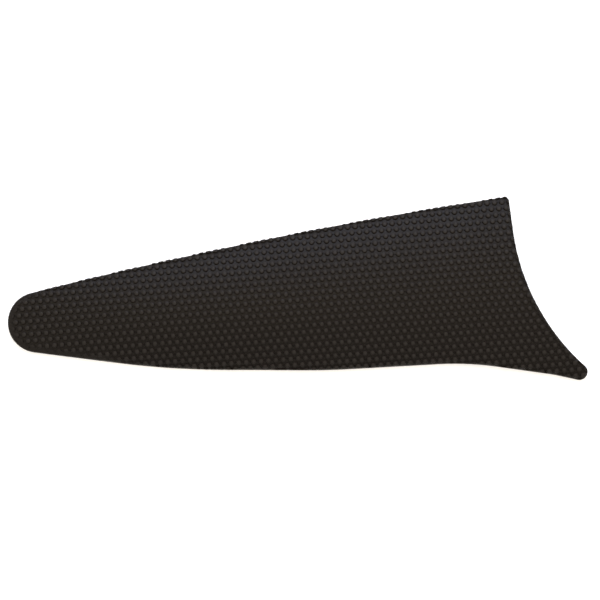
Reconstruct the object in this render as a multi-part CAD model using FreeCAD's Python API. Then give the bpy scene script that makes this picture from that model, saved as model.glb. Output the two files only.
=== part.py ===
import FreeCAD, Part
import math
import os
from FreeCAD import Vector

# A stick-on traction pad for a snowboard's deck: a nubbed rubber tread moulded round a foam core,
# on a double-coated adhesive film that a split release liner covers until the pad is fitted.
# Millimetres. X runs from the rounded nose to the hooked tail, along the rows of nubs.
# Z is up off the deck, and z = 0 is the underside of the liner.

# The pad's outline: the corners of the shape it is drawn from, and the radius that rounds each.
OUTLINE_CORNERS = [
    (-168.7, 2.8, 12.2),    # the nose, where the two long edges would meet
    (-52.1, -21.2, 358.0),
    (11.3, -26.4, 298.0),
    (68.0, -27.6, 125.0),
    (102.7, -35.2, 60.0),
    (123.5, -41.5, 3.1),    # the tip of the tail's hook
    (91.7, -9.1, 86.0),     # the hollow end edge
    (89.8, 38.3, 1.7),
    (-9.7, 30.9, 1925.0),   # the long bowed edge
]

# The layers, from the deck up. The tread's thickness is its web and the nubs that stand on it.
LINER_THICKNESS = 0.2
FILM_THICKNESS = 0.5
TREAD_WEB = 1.2
NUB_HEIGHT = 0.8

# How far the film and the core stop short of the outline: the tread's rim closes round the core.
FILM_INSET = 0.8
RIM_WIDTH = 1.5

# The crown, measured over the tops of the nubs: EDGE_HEIGHT all round, and CROWN_HEIGHT more
# along the ridge, which comes up from the nose over NOSE_RISE_LENGTH.
EDGE_HEIGHT = 3.8
CROWN_HEIGHT = 4.4
RIDGE_Y = 2.2
NOSE_END_X = -116.0
NOSE_RISE_LENGTH = 96.0
MID_HALF_WIDTH = 27.0
HALF_WIDTH_TAPER = 0.105
EDGE_ROUNDING = 1.0

# The slit that splits the release liner, so that each half is peeled from the middle.
SLIT_X = 12.0
SLIT_WIDTH = 0.3

# The crown's surface reaches this far from the origin, past the outline on every side.
SURFACE_REACH_X = 130
SURFACE_REACH_Y = 50
SURFACE_STEP = 10
BLOCK_DEPTH = 40.0


def direction(start, end):
    """The unit vector from one point towards another."""
    return (end - start).normalize()


def corner_arc(before, corner, after, radius):
    """The arc that rounds one corner of a polygon, tangent to both its sides."""
    back = direction(corner, before)
    ahead = direction(corner, after)
    half_angle = back.getAngle(ahead) / 2
    inward = (back + ahead).normalize()
    reach = radius / math.tan(half_angle)
    middle = corner + inward * (radius / math.sin(half_angle) - radius)
    return Part.Arc(corner + back * reach, middle, corner + ahead * reach)


def rounded_polygon(corners):
    """A closed wire of straight runs and tangent arcs, from corners given as x, y and radius."""
    points = [Vector(x, y, 0) for x, y, radius in corners]
    arcs = []
    for index, corner in enumerate(corners):
        after = points[(index + 1) % len(points)]
        arcs.append(corner_arc(points[index - 1], points[index], after, corner[2]))
    edges = []
    for arc, following in zip(arcs, arcs[1:] + arcs[:1]):
        edges.append(arc.toShape())
        edges.append(Part.LineSegment(arc.EndPoint, following.StartPoint).toShape())
    return Part.Wire(edges)


def centred_outline():
    """The pad's outline on the deck, moved so that its box is centred on the origin."""
    outline = rounded_polygon(OUTLINE_CORNERS)
    middle = outline.BoundBox.Center
    outline.translate(Vector(-middle.x, -middle.y, 0))
    return outline


def plate(outline, inset, low, high):
    """The solid inside the outline, drawn in by inset, between two heights."""
    edge = outline.makeOffset2D(-inset) if inset else outline
    face = Part.Face(edge)
    face.translate(Vector(0, 0, low))
    return face.extrude(Vector(0, 0, high - low))


def crown_height(x, y):
    """Height of the nub tops above the deck."""
    short_of_ridge = 1 - min(1.0, (x - NOSE_END_X) / NOSE_RISE_LENGTH)
    crown = CROWN_HEIGHT * (1 - short_of_ridge ** 2)
    half_width = MID_HALF_WIDTH + HALF_WIDTH_TAPER * x
    across = (y - RIDGE_Y) / half_width
    return EDGE_HEIGHT + crown * (1 - across ** 2)


def crown_face():
    """The crown as one smooth face that reaches past the outline."""
    grid = []
    for x in range(-SURFACE_REACH_X, SURFACE_REACH_X + 1, SURFACE_STEP):
        stations = range(-SURFACE_REACH_Y, SURFACE_REACH_Y + 1, SURFACE_STEP)
        grid.append([Vector(x, y, crown_height(x, y)) for y in stations])
    surface = Part.BSplineSurface()
    surface.interpolate(grid)
    return surface.toShape()


def below_crown(depth):
    """A deep block whose top is the crown, lowered by depth."""
    face = crown_face()
    face.translate(Vector(0, 0, -depth))
    return face.extrude(Vector(0, 0, -BLOCK_DEPTH))


def crowned_plate(outline, inset, low, depth):
    """The solid inside the outline from a flat underside up to the crown, lowered by depth."""
    crest = EDGE_HEIGHT + CROWN_HEIGHT
    return plate(outline, inset, low, crest + 1).common(below_crown(depth)).Solids[0]


def foam_core(outline):
    """The flat-bottomed foam that gives the tread its crown."""
    return crowned_plate(
        outline, RIM_WIDTH, LINER_THICKNESS + FILM_THICKNESS, TREAD_WEB + NUB_HEIGHT
    )


def grip_tread(outline, core):
    """The moulded rubber skin over the core, closed round it by a rim down to the film."""
    solid = crowned_plate(outline, 0, LINER_THICKNESS + FILM_THICKNESS, 0)
    crown = max(solid.Faces, key=lambda face: face.CenterOfMass.z)
    rounded = solid.makeFillet(EDGE_ROUNDING, crown.Edges)
    return rounded.cut(core).Solids[0]


def adhesive_film(outline):
    """The double-coated film that holds the tread and its core to the deck."""
    return plate(outline, FILM_INSET, LINER_THICKNESS, LINER_THICKNESS + FILM_THICKNESS)


def liner_half(outline, from_x, to_x):
    """The release liner between two stations along the pad."""
    window = Part.makeBox(
        to_x - from_x,
        2 * SURFACE_REACH_Y,
        LINER_THICKNESS,
        Vector(from_x, -SURFACE_REACH_Y, 0),
    )
    return plate(outline, 0, 0, LINER_THICKNESS).common(window).Solids[0]


def main():
    outline = centred_outline()
    core = foam_core(outline)
    parts = {
        "grip_tread": grip_tread(outline, core),
        "foam_core": core,
        "adhesive_film": adhesive_film(outline),
        "liner_nose_half": liner_half(outline, -SURFACE_REACH_X, SLIT_X - SLIT_WIDTH / 2),
        "liner_tail_half": liner_half(outline, SLIT_X + SLIT_WIDTH / 2, SURFACE_REACH_X),
    }
    os.makedirs("parts", exist_ok=True)
    for node, shape in parts.items():
        shape.exportStep("parts/" + node + ".step")
        print(node, "valid:", shape.isValid(), "volume:", round(shape.Volume), "mm3")


main()
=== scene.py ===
"""The looks of a snowboard stomp pad: a nubbed rubber tread over foam, film and a split liner."""

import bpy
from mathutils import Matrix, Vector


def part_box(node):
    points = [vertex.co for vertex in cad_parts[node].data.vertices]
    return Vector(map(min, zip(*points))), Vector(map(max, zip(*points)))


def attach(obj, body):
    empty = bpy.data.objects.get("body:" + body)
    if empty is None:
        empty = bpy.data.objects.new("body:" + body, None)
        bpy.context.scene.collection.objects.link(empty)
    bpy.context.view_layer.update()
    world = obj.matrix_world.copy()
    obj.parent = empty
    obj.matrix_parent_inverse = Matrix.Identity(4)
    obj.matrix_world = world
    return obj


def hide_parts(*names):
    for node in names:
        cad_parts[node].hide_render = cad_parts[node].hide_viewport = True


bl_info = {
    "name": "Stomp Pad",
    "version": (1, 0, 0),
    "blender": (4, 5, 0),
    "location": "3D View > Sidebar > Stomp Pad",
    "description": "Builds a stick-on traction pad with a field of moulded nubs",
    "category": "Add Mesh",
}

import math

import bmesh
import bpy
from bpy.props import FloatProperty, FloatVectorProperty, IntProperty, PointerProperty
from mathutils import Vector
from mathutils.bvhtree import BVHTree

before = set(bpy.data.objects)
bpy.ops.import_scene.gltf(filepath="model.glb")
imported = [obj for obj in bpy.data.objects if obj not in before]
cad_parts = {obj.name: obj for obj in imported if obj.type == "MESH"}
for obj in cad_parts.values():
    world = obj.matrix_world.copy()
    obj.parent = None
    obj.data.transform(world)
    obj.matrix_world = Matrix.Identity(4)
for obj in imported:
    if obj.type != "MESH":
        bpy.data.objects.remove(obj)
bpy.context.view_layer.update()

MM = 0.001

# The corners of the shape that the outline is drawn from, and the radius that rounds each.
OUTLINE_CORNERS = [
    (-168.7, 2.8, 12.2),    # the nose, where the two long edges would meet
    (-52.1, -21.2, 358.0),
    (11.3, -26.4, 298.0),
    (68.0, -27.6, 125.0),
    (102.7, -35.2, 60.0),
    (123.5, -41.5, 3.1),    # the tip of the tail's hook
    (91.7, -9.1, 86.0),     # the hollow end edge
    (89.8, 38.3, 1.7),
    (-9.7, 30.9, 1925.0),   # the long bowed edge
]
# The longest step along an arc of the outline, and the most that it turns.
OUTLINE_STEP = 1.6 * MM
OUTLINE_TURN = math.radians(9)
# Points closer together than this are one point.
WELD = 1e-3 * MM

# Heights that the frame gives: the film's top face, and the tops of the nubs on the ridge.
FOOT_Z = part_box("grip_tread")[0].z
CREST_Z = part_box("grip_tread")[1].z

# The crown: how far it rises over the edges, and where.
CROWN_HEIGHT = 4.4 * MM
RIDGE_Y = 2.2 * MM
NOSE_END_X = -116.0 * MM
NOSE_RISE_LENGTH = 96.0 * MM
MID_HALF_WIDTH = 27.0 * MM
HALF_WIDTH_TAPER = 0.105
SLOPE_PROBE = 0.01 * MM
# Laid flat, the skin is longer across by this, times the crown's curve squared, times the
# distance from the ridge cubed.
UNROLL = 2 / 3


# ---------------------------------------------------------------- settings

class TreadSettings(bpy.types.PropertyGroup):
    """The moulded rubber tread and its nubs."""

    nub_pitch: FloatProperty(
        name="Nub Pitch", description="Distance between neighbouring nubs in a row",
        default=3.0 * MM, unit="LENGTH", subtype="DISTANCE",
    )
    nub_width: FloatProperty(
        name="Nub Width", description="Width of a nub where it meets the floor",
        default=2.3 * MM, unit="LENGTH", subtype="DISTANCE",
    )
    nub_height: FloatProperty(
        name="Nub Height", description="Height of a nub above the floor",
        default=0.8 * MM, unit="LENGTH", subtype="DISTANCE",
    )
    first_row_y: FloatProperty(
        name="First Row", description="Where the row of nubs nearest the middle lies",
        default=-0.2 * MM, unit="LENGTH", subtype="DISTANCE",
    )
    border_width: FloatProperty(
        name="Border Width", description="Width of the plain border round the nose",
        default=2.6 * MM, unit="LENGTH", subtype="DISTANCE",
    )
    roll_width: FloatProperty(
        name="Roll Width", description="Width of the rolled edge, all the way round",
        default=0.9 * MM, unit="LENGTH", subtype="DISTANCE",
    )
    roll_drop: FloatProperty(
        name="Roll Drop", description="How far the rolled edge drops",
        default=0.55 * MM, unit="LENGTH", subtype="DISTANCE",
    )
    web: FloatProperty(
        name="Web", description="Thickness of the rubber between the nubs",
        default=1.2 * MM, unit="LENGTH", subtype="DISTANCE",
    )
    rim_width: FloatProperty(
        name="Rim Width", description="Width of the rim that closes round the foam",
        default=1.5 * MM, unit="LENGTH", subtype="DISTANCE",
    )
    # The gap between the floor colour and the nub-top colour is partly wear on the nub tops and partly
    # painted shade in the floor between the nubs.
    rubber: FloatVectorProperty(
        name="Rubber", description="Colour of the floor between the nubs",
        default=(0.0078, 0.0058, 0.0041), size=3, subtype="COLOR",
    )
    worn_and_lit_rubber: FloatVectorProperty(
        name="Worn Rubber", description="Colour of the tops of the nubs",
        default=(0.0152, 0.0124, 0.0100), size=3, subtype="COLOR",
    )


class CoreSettings(bpy.types.PropertyGroup):
    """The foam core under the tread."""

    clearance: FloatProperty(
        name="Clearance", description="Gap between the foam and the rubber round it",
        default=0.05 * MM, unit="LENGTH", subtype="DISTANCE",
    )
    grid: FloatProperty(
        name="Grid", description="Spacing of the cuts that let flat pieces take the crown",
        default=6.0 * MM, unit="LENGTH", subtype="DISTANCE",
    )
    foam: FloatVectorProperty(
        name="Foam", description="Colour of the foam",
        default=(0.045, 0.043, 0.042), size=3, subtype="COLOR",
    )


class BackingSettings(bpy.types.PropertyGroup):
    """The adhesive film and the release liner."""

    adhesive: FloatVectorProperty(
        name="Adhesive", description="Colour of the adhesive film",
        default=(0.40, 0.33, 0.20), size=3, subtype="COLOR",
    )
    paper: FloatVectorProperty(
        name="Liner", description="Colour of the glazed release paper",
        default=(0.42, 0.34, 0.23), size=3, subtype="COLOR",
    )


class StageSettings(bpy.types.PropertyGroup):
    """The floor, the lights and the camera."""

    floor: FloatVectorProperty(
        name="Floor", description="Colour of the floor",
        default=(0.9, 0.9, 0.9), size=3, subtype="COLOR",
    )
    floor_glow: FloatProperty(
        name="Floor Glow", description="Light that the floor gives off, as a light table does",
        default=0.25, min=0.0,
    )
    key_power: FloatProperty(
        name="Key Light", description="Power of the large light over the bowed edge",
        default=19.0, unit="POWER",
    )
    overhead_power: FloatProperty(
        name="Overhead Light", description="Power of the light above the pad",
        default=5.0, unit="POWER",
    )
    fill_power: FloatProperty(
        name="Fill Lights", description="Power of each of the lights on the other sides",
        default=2.0, unit="POWER",
    )
    camera_distance: FloatProperty(
        name="Camera Distance", description="Height of the camera above the pad",
        default=1.2, unit="LENGTH", subtype="DISTANCE",
    )


class StompPadSettings(bpy.types.PropertyGroup):
    """Everything that can be changed about the pad."""

    tread: PointerProperty(type=TreadSettings)
    core: PointerProperty(type=CoreSettings)
    backing: PointerProperty(type=BackingSettings)
    stage: PointerProperty(type=StageSettings)


# ---------------------------------------------------------------- outline and crown

def add_corner_arc(shape, before, corner, after, radius):
    """Rounds one corner by spinning the arc's first point. Returns its first and last points."""
    back = (before - corner).normalized()
    ahead = (after - corner).normalized()
    half_angle = back.angle(ahead) / 2
    turn = math.pi - 2 * half_angle
    steps = math.ceil(max(radius * turn / OUTLINE_STEP, turn / OUTLINE_TURN))
    first = shape.verts.new(corner + back * (radius / math.tan(half_angle)))
    spun = bmesh.ops.spin(
        shape,
        geom=[first],
        cent=corner + (back + ahead).normalized() * (radius / math.sin(half_angle)),
        axis=(0, 0, math.copysign(1, ahead.cross(back).z)),
        angle=turn,
        steps=steps,
    )
    return first, spun["geom_last"][0]


def add_outline(shape):
    """Adds the pad's outline as one flat face, with its box centred on the origin."""
    points = [Vector((x, y, 0)) * MM for x, y, radius in OUTLINE_CORNERS]
    ends = []
    for index, point in enumerate(points):
        after = points[(index + 1) % len(points)]
        radius = OUTLINE_CORNERS[index][2] * MM
        ends.append(add_corner_arc(shape, points[index - 1], point, after, radius))
    for (first, last), (following, end) in zip(ends, ends[1:] + ends[:1]):
        shape.edges.new((last, following))
    low, high = extent(shape)
    bmesh.ops.translate(shape, verts=shape.verts, vec=-(low + high) / 2)
    face = bmesh.ops.edgeloop_fill(shape, edges=shape.edges)["faces"][0]
    face.normal_update()
    if face.normal.z < 0:
        face.normal_flip()
    return face


def extent(shape):
    """The lowest and highest corner of a bmesh."""
    low = Vector([min(vert.co[axis] for vert in shape.verts) for axis in range(3)])
    high = Vector([max(vert.co[axis] for vert in shape.verts) for axis in range(3)])
    return low, high


def crown_rise(x):
    """How far the ridge stands above the edges at a station along the pad."""
    short_of_ridge = 1 - min(1.0, (x - NOSE_END_X) / NOSE_RISE_LENGTH)
    return CROWN_HEIGHT * (1 - short_of_ridge ** 2)


def crown_curve(x):
    """How sharply the crown falls away across the pad: the drop over the distance squared."""
    half_width = MID_HALF_WIDTH + HALF_WIDTH_TAPER * x
    return crown_rise(x) / half_width ** 2


def crown_height(x, y):
    """Height of the nub tops above the deck."""
    edge_z = CREST_Z - CROWN_HEIGHT
    return edge_z + crown_rise(x) - crown_curve(x) * (y - RIDGE_Y) ** 2


def crown_normal(x, y):
    """The direction square to the crown."""
    here = crown_height(x, y)
    along = (crown_height(x + SLOPE_PROBE, y) - here) / SLOPE_PROBE
    across = (crown_height(x, y + SLOPE_PROBE) - here) / SLOPE_PROBE
    return Vector((-along, -across, 1)).normalized()


def unrolled(point):
    """A point of the outline, laid out flat: the skin is longer across than its shadow."""
    out = point.y - RIDGE_Y
    stretch = UNROLL * crown_curve(point.x) ** 2 * out ** 3
    return Vector((point.x, point.y + stretch, point.z))


def crowned(flat, tread):
    """Where a point of the flat skin goes on the crown. Its z is its height over the floor."""
    out = flat.y - RIDGE_Y
    y = flat.y - UNROLL * crown_curve(flat.x) ** 2 * out ** 3
    floor = Vector((flat.x, y, crown_height(flat.x, y) - tread.nub_height))
    normal = crown_normal(flat.x, y)
    if flat.z >= -tread.web:
        return floor + normal * flat.z
    share = (-flat.z - tread.web) / (rim_depth(tread) - tread.web)
    return (floor - normal * tread.web).lerp(Vector((flat.x, y, FOOT_Z)), share)


def rim_depth(tread):
    """Depth of the rim below the floor of the tread, along the edges."""
    return CREST_Z - CROWN_HEIGHT - tread.nub_height - FOOT_Z


# ---------------------------------------------------------------- mesh helpers

def new_piece(name, shape):
    """An object of its own at the origin, from a bmesh, which is freed."""
    mesh = bpy.data.meshes.new(name)
    shape.to_mesh(mesh)
    shape.free()
    piece = bpy.data.objects.new(name, mesh)
    bpy.context.scene.collection.objects.link(piece)
    return piece


def shade_smooth(mesh, angle):
    """Smooth shading, with an edge left sharp where the faces turn by more than angle."""
    for polygon in mesh.polygons:
        polygon.use_smooth = True
    mesh.set_sharp_from_angle(angle=angle)


def common_mesh(name, body, cutter):
    """What two closed pieces have in common, as a mesh. Both pieces are used up."""
    boolean = body.modifiers.new("Common", "BOOLEAN")
    boolean.operation = "INTERSECT"
    boolean.solver = "MANIFOLD"
    boolean.object = cutter
    depsgraph = bpy.context.evaluated_depsgraph_get()
    mesh = bpy.data.meshes.new_from_object(body.evaluated_get(depsgraph))
    mesh.name = name
    for used in (body, cutter):
        bpy.data.objects.remove(used)
    if not mesh.polygons:
        raise RuntimeError(f"{name} came out empty")
    return mesh


def cut_into_grid(shape, spacing):
    """Cuts every face along a square grid, so that a flat plate can take the crown."""
    low, high = extent(shape)
    for axis in range(2):
        normal = Vector((1 - axis, axis, 0))
        station = math.ceil(low[axis] / spacing) * spacing
        while station < high[axis]:
            bmesh.ops.bisect_plane(
                shape,
                geom=shape.verts[:] + shape.edges[:] + shape.faces[:],
                plane_co=normal * station,
                plane_no=normal,
            )
            station += spacing


# ---------------------------------------------------------------- the tread

NUB_SIDES = 12
# The nub's profile from the floor up: how far each ring steps in and up, in its half width
# and its height.
NUB_RINGS = ((0.10, 0.60), (0.09, 0.22), (0.26, 0.11))
NUB_DOME = 0.07
# How far the tread's blank reaches over the nubs, and the nub field under the rim.
BLANK_MARGIN = 1.0 * MM

# The plain border round the nose dies away over a stretch that starts at a slanting line.
BORDER_LINE_X = -82 * MM
BORDER_LINE_SLANT = 1.12
BORDER_FADE = 14 * MM
# The share of the border's width over which the nubs come up, and how much paler the border is painted,
# a painted highlight on the rolled nose border.
BORDER_SLOPE = 0.5
BORDER_HIGHLIGHT = 0.5
TREAD_CREASE = math.radians(40)


def add_nub_cell(shape, tread):
    """Adds one hexagon of the tread's floor with a nub in its middle."""
    bmesh.ops.create_circle(shape, segments=NUB_SIDES // 2, radius=tread.nub_pitch / math.sqrt(3))
    bmesh.ops.subdivide_edges(shape, edges=shape.edges[:], cuts=1)
    outer = shape.edges[:]
    half_width = tread.nub_width / 2
    bmesh.ops.create_circle(shape, cap_ends=True, segments=NUB_SIDES, radius=half_width)
    inner = [edge for edge in shape.edges if edge not in outer]
    cap = shape.faces[:][0]
    bmesh.ops.bridge_loops(shape, edges=outer + inner)
    for step_in, step_up in NUB_RINGS:
        bmesh.ops.inset_region(
            shape,
            faces=[cap],
            thickness=step_in * half_width,
            depth=step_up * tread.nub_height,
            use_even_offset=True,
        )
    bmesh.ops.poke(shape, faces=[cap], offset=NUB_DOME * tread.nub_height)


def repeat(shape, count, offset):
    """Repeats everything in a bmesh along a straight line, count times in all."""
    pattern = shape.verts[:] + shape.edges[:] + shape.faces[:]
    for step in range(1, count):
        copy = bmesh.ops.duplicate(shape, geom=pattern)["geom"]
        copied = [item for item in copy if isinstance(item, bmesh.types.BMVert)]
        bmesh.ops.translate(shape, verts=copied, vec=offset * step)


def add_nub_field(shape, tread):
    """Lays nubs in close-packed rows, as one welded skin that reaches past the outline."""
    pitch = tread.nub_pitch
    spacing = pitch * math.sqrt(3) / 2
    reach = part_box("grip_tread")[1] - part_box("grip_tread")[0]
    columns = 2 * math.ceil(reach.x / pitch / 2) + 2
    row_pairs = 2 * math.ceil(reach.y / spacing / 4)
    add_nub_cell(shape, tread)
    repeat(shape, columns, Vector((pitch, 0, 0)))
    repeat(shape, 2, Vector((pitch / 2, spacing, 0)))
    repeat(shape, row_pairs, Vector((0, 2 * spacing, 0)))
    corner = Vector((-columns / 2 * pitch, tread.first_row_y - row_pairs * spacing, 0))
    bmesh.ops.translate(shape, verts=shape.verts, vec=corner)
    bmesh.ops.remove_doubles(shape, verts=shape.verts, dist=WELD)


def close_below(shape, depth):
    """Closes an open skin with straight walls and a flat underside."""
    rim = [edge for edge in shape.edges if edge.is_boundary]
    walls = bmesh.ops.extrude_edge_only(shape, edges=rim)["geom"]
    lowered = [item for item in walls if isinstance(item, bmesh.types.BMVert)]
    bmesh.ops.translate(shape, verts=lowered, vec=(0, 0, -depth))
    open_edges = [edge for edge in shape.edges if edge.is_boundary]
    bmesh.ops.edgeloop_fill(shape, edges=open_edges)
    bmesh.ops.recalc_face_normals(shape, faces=shape.faces)


def flat_plate():
    """The outline as a flat bmesh plate, unrolled to the size of the skin."""
    plate = bmesh.new()
    add_outline(plate)
    for vert in plate.verts:
        vert.co = unrolled(vert.co)
    return plate


def outline_wall():
    """The unrolled outline as an upright wall, to measure distances from."""
    wall = flat_plate()
    plate = wall.faces[:]
    bmesh.ops.translate(wall, verts=wall.verts, vec=(0, 0, -BLANK_MARGIN))
    upper = bmesh.ops.extrude_face_region(wall, geom=plate)["geom"]
    raised = [item for item in upper if isinstance(item, bmesh.types.BMVert)]
    bmesh.ops.translate(wall, verts=raised, vec=(0, 0, 2 * BLANK_MARGIN))
    lids = [face for face in wall.faces if len(face.verts) > 4]
    bmesh.ops.delete(wall, geom=lids, context="FACES_ONLY")
    bmesh.ops.recalc_face_normals(wall, faces=wall.faces)
    tree = BVHTree.FromBMesh(wall)
    wall.free()
    return tree


def distance_inside(wall, point):
    """How far a point of the flat skin lies inside the outline. It is negative outside."""
    flat = Vector((point.x, point.y, 0))
    nearest, normal, face, distance = wall.find_nearest(flat)
    return math.copysign(distance, normal.dot(nearest - flat))


def border_share(point, inside, width):
    """How plain the skin is at a point: 1 in the border round the nose, 0 where nubs stand full."""
    along = (BORDER_LINE_X - point.x - BORDER_LINE_SLANT * point.y) / BORDER_FADE
    across = (width - inside) / (width * BORDER_SLOPE)
    return max(0.0, min(1.0, along)) * max(0.0, min(1.0, across))


def split_large_faces(mesh):
    """Splits the faces of many corners into triangles while they are still flat."""
    shape = bmesh.new()
    shape.from_mesh(mesh)
    bmesh.ops.dissolve_degenerate(shape, dist=WELD, edges=shape.edges)
    large = [face for face in shape.faces if len(face.verts) > 4]
    bmesh.ops.triangulate(shape, faces=large)
    shape.to_mesh(mesh)
    shape.free()


def press_edges(mesh, tread, wall):
    """Presses the nubs flat in the plain border, and rolls the outer edge down."""
    for vert in mesh.vertices:
        if vert.co.z > -tread.web / 2:
            inside = distance_inside(wall, vert.co)
            vert.co.z *= 1 - border_share(vert.co, inside, tread.border_width)
            roll = max(0.0, min(1.0, 1 - inside / tread.roll_width))
            vert.co.z -= tread.roll_drop * roll ** 2


def tread_blank(tread, grid):
    """The tread before it has nubs: a plate with a rim round the pocket that the foam fills."""
    blank = flat_plate()
    top = blank.faces[:]
    bottom = bmesh.ops.extrude_face_region(blank, geom=top, use_keep_orig=True)["geom"]
    lowered = [item for item in bottom if isinstance(item, bmesh.types.BMVert)]
    underside = [item for item in bottom if isinstance(item, bmesh.types.BMFace)]
    bmesh.ops.translate(blank, verts=lowered, vec=(0, 0, -rim_depth(tread)))
    raised = [vert for face in top for vert in face.verts]
    bmesh.ops.translate(blank, verts=raised, vec=(0, 0, tread.nub_height + BLANK_MARGIN))
    bmesh.ops.inset_region(blank, faces=underside, thickness=tread.rim_width, use_even_offset=True)
    pocket = bmesh.ops.extrude_face_region(blank, geom=underside)["geom"]
    ceiling = [item for item in pocket if isinstance(item, bmesh.types.BMVert)]
    bmesh.ops.translate(blank, verts=ceiling, vec=(0, 0, rim_depth(tread) - tread.web))
    old = [face for face in underside if face.is_valid]
    bmesh.ops.delete(blank, geom=old, context="FACES_ONLY")
    cut_into_grid(blank, grid)
    bmesh.ops.recalc_face_normals(blank, faces=blank.faces)
    return blank


def mark_relief(mesh, tread, wall):
    """Keeps each point's height over the floor, as a share of the nub's, for the material. The plain
    border round the nose gets a raised value, a painted highlight.
    """
    relief = mesh.attributes.new("relief", "FLOAT", "POINT")
    for vert in mesh.vertices:
        border = border_share(vert.co, distance_inside(wall, vert.co), tread.border_width)
        # The plain border is painted paler, a painted highlight on the rolled edge.
        height = max(vert.co.z / tread.nub_height, BORDER_HIGHLIGHT * border)
        relief.data[vert.index].value = max(0.0, min(1.0, height))


def bend_over_crown(mesh, tread):
    """Lays a flat mesh over the crown."""
    for vert in mesh.vertices:
        vert.co = crowned(vert.co, tread)


class STOMP_OT_grip_tread(bpy.types.Operator):
    """Makes the moulded rubber tread, with a nub at every lattice place inside the outline"""

    bl_idname = "stomp.grip_tread"
    bl_label = "Grip Tread"

    def execute(self, context):
        settings = context.scene.stomp_pad
        tread = settings.tread
        wall = outline_wall()
        field = bmesh.new()
        add_nub_field(field, tread)
        close_below(field, rim_depth(tread) + BLANK_MARGIN)
        blank = tread_blank(tread, settings.core.grid)
        mesh = common_mesh(
            "nubbed_tread", new_piece("nub_field", field), new_piece("tread_blank", blank)
        )
        split_large_faces(mesh)
        press_edges(mesh, tread, wall)
        mark_relief(mesh, tread, wall)
        bend_over_crown(mesh, tread)
        shade_smooth(mesh, TREAD_CREASE)
        piece = bpy.data.objects.new("nubbed_tread", mesh)
        context.scene.collection.objects.link(piece)
        mesh.materials.clear()
        mesh.materials.append(tread_rubber(tread))
        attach(piece, "pad")
        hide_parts("grip_tread")
        return {"FINISHED"}


# ---------------------------------------------------------------- core and backing

CORE_CREASE = math.radians(35)


class STOMP_OT_foam_core(bpy.types.Operator):
    """Makes the foam core that fills the tread's pocket"""

    bl_idname = "stomp.foam_core"
    bl_label = "Foam Core"

    def execute(self, context):
        settings = context.scene.stomp_pad
        tread = settings.tread
        core = settings.core
        shape = flat_plate()
        inset = tread.rim_width + core.clearance
        bmesh.ops.inset_region(
            shape, faces=shape.faces[:], thickness=inset, use_boundary=True, use_even_offset=True
        )
        border = [face for face in shape.faces if any(edge.is_boundary for edge in face.edges)]
        bmesh.ops.delete(shape, geom=border, context="FACES")
        bmesh.ops.translate(shape, verts=shape.verts, vec=(0, 0, -rim_depth(tread)))
        top = bmesh.ops.extrude_face_region(shape, geom=shape.faces[:], use_keep_orig=True)["geom"]
        raised = [item for item in top if isinstance(item, bmesh.types.BMVert)]
        lift = rim_depth(tread) - tread.web - core.clearance
        bmesh.ops.translate(shape, verts=raised, vec=(0, 0, lift))
        cut_into_grid(shape, core.grid)
        bmesh.ops.recalc_face_normals(shape, faces=shape.faces)
        piece = new_piece("moulded_foam_core", shape)
        bend_over_crown(piece.data, tread)
        shade_smooth(piece.data, CORE_CREASE)
        piece.data.materials.append(core_foam(core))
        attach(piece, "pad")
        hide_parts("foam_core")
        return {"FINISHED"}


def refinish(node, material):
    """Gives a CAD node that is shown as it is a new material."""
    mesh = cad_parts[node].data
    mesh.materials.clear()
    mesh.materials.append(material)


class STOMP_OT_adhesive_film(bpy.types.Operator):
    """Finishes the double-coated adhesive film"""

    bl_idname = "stomp.adhesive_film"
    bl_label = "Adhesive Film"

    def execute(self, context):
        refinish("adhesive_film", tacky_film(context.scene.stomp_pad.backing))
        return {"FINISHED"}


class STOMP_OT_release_liner(bpy.types.Operator):
    """Finishes the two halves of the release liner"""

    bl_idname = "stomp.release_liner"
    bl_label = "Release Liner"

    def execute(self, context):
        paper = liner_paper(context.scene.stomp_pad.backing)
        for node in ("liner_nose_half", "liner_tail_half"):
            refinish(node, paper)
        return {"FINISHED"}


# ---------------------------------------------------------------- materials

class Value:
    """One output of a material's nodes. Arithmetic on it adds Math nodes."""

    def __init__(self, finish, socket):
        self.finish = finish
        self.socket = socket

    def _math(self, operation, first, second):
        return self.finish.node("ShaderNodeMath", {"operation": operation}, {0: first, 1: second})

    def __add__(self, other):
        return self._math("ADD", self, other)

    __radd__ = __add__

    def __mul__(self, other):
        return self._math("MULTIPLY", self, other)

    __rmul__ = __mul__

    def __pow__(self, other):
        return self._math("POWER", self, other)


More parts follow.
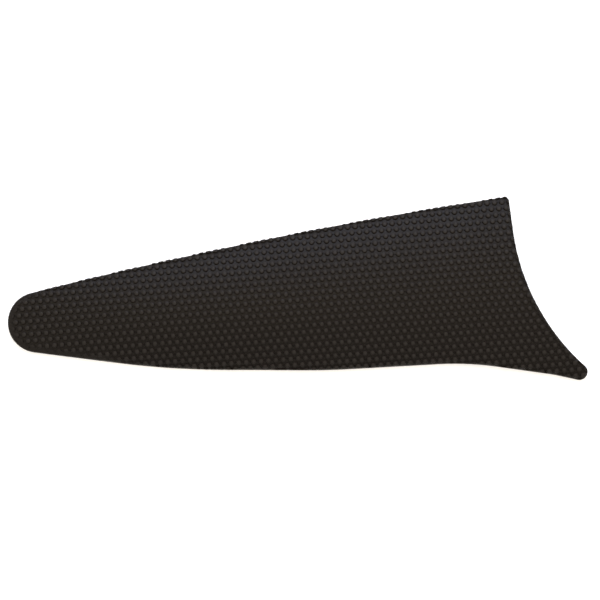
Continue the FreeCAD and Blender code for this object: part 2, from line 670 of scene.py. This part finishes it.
class Finish:
    """A procedural material and the nodes that it is made of."""

    def __init__(self, name):
        self.material = bpy.data.materials.new(name)
        self.material.use_nodes = True
        self.tree = self.material.node_tree
        self.shader = self.tree.nodes["Principled BSDF"]

    def node(self, kind, settings=None, inputs=None, output=0):
        """Adds a node, sets it up, fills its sockets and returns one of its outputs."""
        made = self.tree.nodes.new(kind)
        for name, value in (settings or {}).items():
            setattr(made, name, value)
        for name, value in (inputs or {}).items():
            self.fill(made.inputs[name], value)
        return Value(self, made.outputs[output])

    def fill(self, socket, value):
        """Links a value to a socket, or sets the socket to a plain number or colour."""
        if isinstance(value, Value):
            self.tree.links.new(value.socket, socket)
        elif socket.type == "RGBA" and len(value) == 3:
            socket.default_value = (*value, 1)
        else:
            socket.default_value = value

    def place(self):
        """The point on the piece, in metres."""
        return self.node("ShaderNodeTexCoord", output="Object")

    def noise(self, size, detail=2.0, roughness=0.5, place=None):
        """Cloudy noise whose blotches are about size metres wide, around 0.5."""
        vector = place or self.place()
        inputs = {"Vector": vector, "Scale": 1 / size, "Detail": detail, "Roughness": roughness}
        return self.node("ShaderNodeTexNoise", None, inputs)

    def attribute(self, name):
        """A number stored on the mesh."""
        return self.node("ShaderNodeAttribute", {"attribute_name": name}, output="Fac")

    def between(self, value, low, high):
        """A value's run from low to high, stretched to 0 to 1."""
        inputs = {"Value": value, "From Min": low, "From Max": high}
        return self.node("ShaderNodeMapRange", {"clamp": True}, inputs)

    def blend(self, factor, first, second):
        """A colour between two colours."""
        inputs = {"Factor": factor, 6: first, 7: second}
        return self.node("ShaderNodeMix", {"data_type": "RGBA"}, inputs, output=2)

    def bump(self, height, depth, strength=1.0):
        """A normal that shows height, from 0 to 1, as relief of a depth in metres."""
        inputs = {"Height": height, "Distance": depth, "Strength": strength}
        return self.node("ShaderNodeBump", None, inputs)

    def finish(self, **sockets):
        """Fills the shader's own sockets, whose names are given with underscores."""
        for name, value in sockets.items():
            self.fill(self.shader.inputs[name.replace("_", " ")], value)
        return self.material


def tread_rubber(tread):
    """Satin brown-black rubber, paler on the tops of the nubs than in the floor between them: partly
    rubbed wear on the tops, partly painted shade in the floor.
    """
    rubber = Finish("tread_rubber")
    relief = rubber.attribute("relief")
    mottle = rubber.noise(14 * MM, detail=3.0)
    each_nub = rubber.noise(2.6 * MM, detail=1.0)
    grain = rubber.noise(0.22 * MM, detail=3.0, roughness=0.6)
    # Paler with height over the floor: partly wear on the nub tops, partly painted shade in the floor
    # between the nubs.
    wear_and_shade = relief ** 1.4 * (0.62 + 0.7 * each_nub + 0.25 * mottle)
    colour = rubber.blend(rubber.between(wear_and_shade, 0.0, 1.2), tuple(tread.rubber), tuple(tread.worn_and_lit_rubber))
    roughness = 0.30 + 0.16 * grain + 0.12 * mottle
    return rubber.finish(
        Base_Color=colour,
        Roughness=roughness,
        Specular_IOR_Level=0.09,
        Normal=rubber.bump(grain, 0.03 * MM),
    )


def core_foam(core):
    """Charcoal closed-cell foam."""
    foam = Finish("core_foam")
    cells = foam.node("ShaderNodeTexVoronoi", None, {"Vector": foam.place(), "Scale": 1 / (0.5 * MM)})
    mottle = foam.noise(9 * MM)
    dark = tuple(0.6 * channel for channel in core.foam)
    colour = foam.blend(cells * 0.8 + mottle * 0.3, dark, tuple(1.3 * channel for channel in core.foam))
    return foam.finish(
        Base_Color=colour,
        Roughness=0.8 + 0.15 * mottle,
        Specular_IOR_Level=0.25,
        Normal=foam.bump(cells, 0.12 * MM),
    )


def tacky_film(backing):
    """Clear amber adhesive with a faint scrim showing through."""
    film = Finish("tacky_film")
    pulled = film.noise(5 * MM, detail=4.0)
    weave = film.node(
        "ShaderNodeTexWave",
        {"wave_type": "BANDS", "bands_direction": "DIAGONAL"},
        {"Vector": film.place(), "Scale": 1 / (9 * MM), "Distortion": 0.4},
        output="Fac",
    )
    pale = tuple(min(1.0, 1.25 * channel) for channel in backing.adhesive)
    colour = film.blend(pulled * 0.7 + weave * 0.25, tuple(backing.adhesive), pale)
    return film.finish(
        Base_Color=colour,
        Roughness=0.12 + 0.25 * pulled,
        Coat_Weight=0.4,
        Normal=film.bump(pulled, 0.05 * MM),
    )


def liner_paper(backing):
    """Glazed release paper with short fibres in it."""
    paper = Finish("liner_paper")
    stretched = paper.node(
        "ShaderNodeMapping", None, {"Vector": paper.place(), "Scale": (0.25, 1.0, 1.0)}
    )
    fibres = paper.noise(0.5 * MM, detail=5.0, roughness=0.65, place=stretched)
    cloud = paper.noise(12 * MM, detail=3.0)
    dark = tuple(0.8 * channel for channel in backing.paper)
    colour = paper.blend(paper.between(fibres * 0.7 + cloud * 0.4, 0.3, 0.8), dark, tuple(backing.paper))
    return paper.finish(
        Base_Color=colour,
        Roughness=0.28 + 0.2 * fibres,
        Normal=paper.bump(fibres, 0.02 * MM),
    )


def floor_paint(stage):
    """Plain matt floor."""
    paint = Finish("floor_paint")
    cloud = paint.noise(0.4)
    pale = tuple(min(1.0, 1.02 * channel) for channel in stage.floor)
    return paint.finish(
        Base_Color=paint.blend(cloud, tuple(stage.floor), pale),
        Roughness=0.95,
        Specular_IOR_Level=0.0,
        Emission_Color=(1, 1, 1),
        Emission_Strength=stage.floor_glow,
    )


# ---------------------------------------------------------------- stage

# The camera looks down on the pad from a little on the near side, turned against the rows of nubs.
CAMERA_AIM = Vector((2.5 * MM, 2.62 * MM, 4 * MM))
CAMERA_TURN = math.radians(-4.41)
CAMERA_LEAN = math.radians(4.0)
VIEW_WIDTH = 242.1 * MM
SENSOR_WIDTH = 36.0
FARTHEST_SEEN = 10.0

FLOOR_HALF_SIZE = 3.0
FLOOR_GAP = 0.02 * MM
ROOM_COLOUR = (1.0, 0.97, 0.93, 1)
ROOM_STRENGTH = 1.0

COOL = (0.70, 0.77, 1.0)
AMBER = (1.0, 0.80, 0.42)
WARM = (1.0, 0.95, 0.88)
# Each softbox: its name, place, width, the setting that holds its power, and its colour.
SOFTBOXES = (
    ("far_softbox", Vector((0.1, 0.95, 1.15)), 0.6, "key_power", COOL),
    ("overhead_softbox", Vector((0.0, 0.22, 1.6)), 0.6, "overhead_power", AMBER),
    ("nose_softbox", Vector((-1.2, 0.0, 0.8)), 0.8, "fill_power", WARM),
    ("tail_softbox", Vector((1.2, 0.1, 0.8)), 0.8, "fill_power", WARM),
    ("near_softbox", Vector((0.0, -1.2, 0.8)), 0.8, "fill_power", WARM),
)


def add_camera(stage):
    """Adds the camera and makes it the scene's own."""
    data = bpy.data.cameras.new("camera")
    data.sensor_width = SENSOR_WIDTH
    data.lens = SENSOR_WIDTH * stage.camera_distance / VIEW_WIDTH
    data.clip_end = FARTHEST_SEEN
    camera = bpy.data.objects.new("camera", data)
    camera.rotation_euler = (CAMERA_LEAN, 0, CAMERA_TURN)
    back = camera.rotation_euler.to_matrix() @ Vector((0, 0, 1))
    camera.location = CAMERA_AIM + back * stage.camera_distance
    bpy.context.scene.collection.objects.link(camera)
    bpy.context.scene.camera = camera


def add_softbox(name, place, size, power, colour):
    """Adds a square area light that faces the pad."""
    data = bpy.data.lights.new(name, "AREA")
    data.size = size
    data.energy = power
    data.color = colour
    light = bpy.data.objects.new(name, data)
    light.location = place
    light.rotation_euler = (CAMERA_AIM - place).to_track_quat("-Z", "Y").to_euler()
    bpy.context.scene.collection.objects.link(light)


def add_floor(stage):
    """Adds a plain floor just under the liner."""
    shape = bmesh.new()
    bmesh.ops.create_grid(shape, size=FLOOR_HALF_SIZE)
    bmesh.ops.translate(shape, verts=shape.verts, vec=(0, 0, -FLOOR_GAP))
    floor = new_piece("floor", shape)
    floor.data.materials.append(floor_paint(stage))


def fill_room():
    """Fills the room with even, soft, nearly white light."""
    world = bpy.data.worlds.new("studio")
    world.use_nodes = True
    background = world.node_tree.nodes["Background"]
    background.inputs["Color"].default_value = ROOM_COLOUR
    background.inputs["Strength"].default_value = ROOM_STRENGTH
    bpy.context.scene.world = world


class STOMP_OT_stage(bpy.types.Operator):
    """Makes the floor, the studio lights and the camera"""

    bl_idname = "stomp.stage"
    bl_label = "Stage"

    def execute(self, context):
        stage = context.scene.stomp_pad.stage
        add_floor(stage)
        for name, place, width, power, colour in SOFTBOXES:
            add_softbox(name, place, width, getattr(stage, power), colour)
        fill_room()
        context.scene.view_settings.view_transform = "Standard"
        add_camera(stage)
        return {"FINISHED"}


# ---------------------------------------------------------------- add-on

class STOMP_PT_panel(bpy.types.Panel):
    """Lists the steps that build the stomp pad"""

    bl_idname = "STOMP_PT_panel"
    bl_label = "Stomp Pad"
    bl_space_type = "VIEW_3D"
    bl_region_type = "UI"
    bl_category = "Stomp Pad"

    def draw(self, context):
        for step in STEPS:
            self.layout.operator(step.bl_idname)
        settings = context.scene.stomp_pad
        for group in (settings.tread, settings.core, settings.backing, settings.stage):
            box = self.layout.box()
            for name in group.__annotations__:
                box.prop(group, name)


SETTINGS = (TreadSettings, CoreSettings, BackingSettings, StageSettings, StompPadSettings)
STEPS = (
    STOMP_OT_grip_tread,
    STOMP_OT_foam_core,
    STOMP_OT_adhesive_film,
    STOMP_OT_release_liner,
    STOMP_OT_stage,
)


def register():
    """Registers the settings, the steps and the panel."""
    for cls in SETTINGS + STEPS + (STOMP_PT_panel,):
        bpy.utils.register_class(cls)
    bpy.types.Scene.stomp_pad = PointerProperty(type=StompPadSettings)


def unregister():
    """Takes everything that register adds away again."""
    del bpy.types.Scene.stomp_pad
    for cls in reversed(SETTINGS + STEPS + (STOMP_PT_panel,)):
        bpy.utils.unregister_class(cls)


def main():
    """Builds the pad and its stage."""
    register()
    for step in STEPS:
        group, name = step.bl_idname.split(".")
        getattr(getattr(bpy.ops, group), name)()


if __name__ == "__main__":
    main()
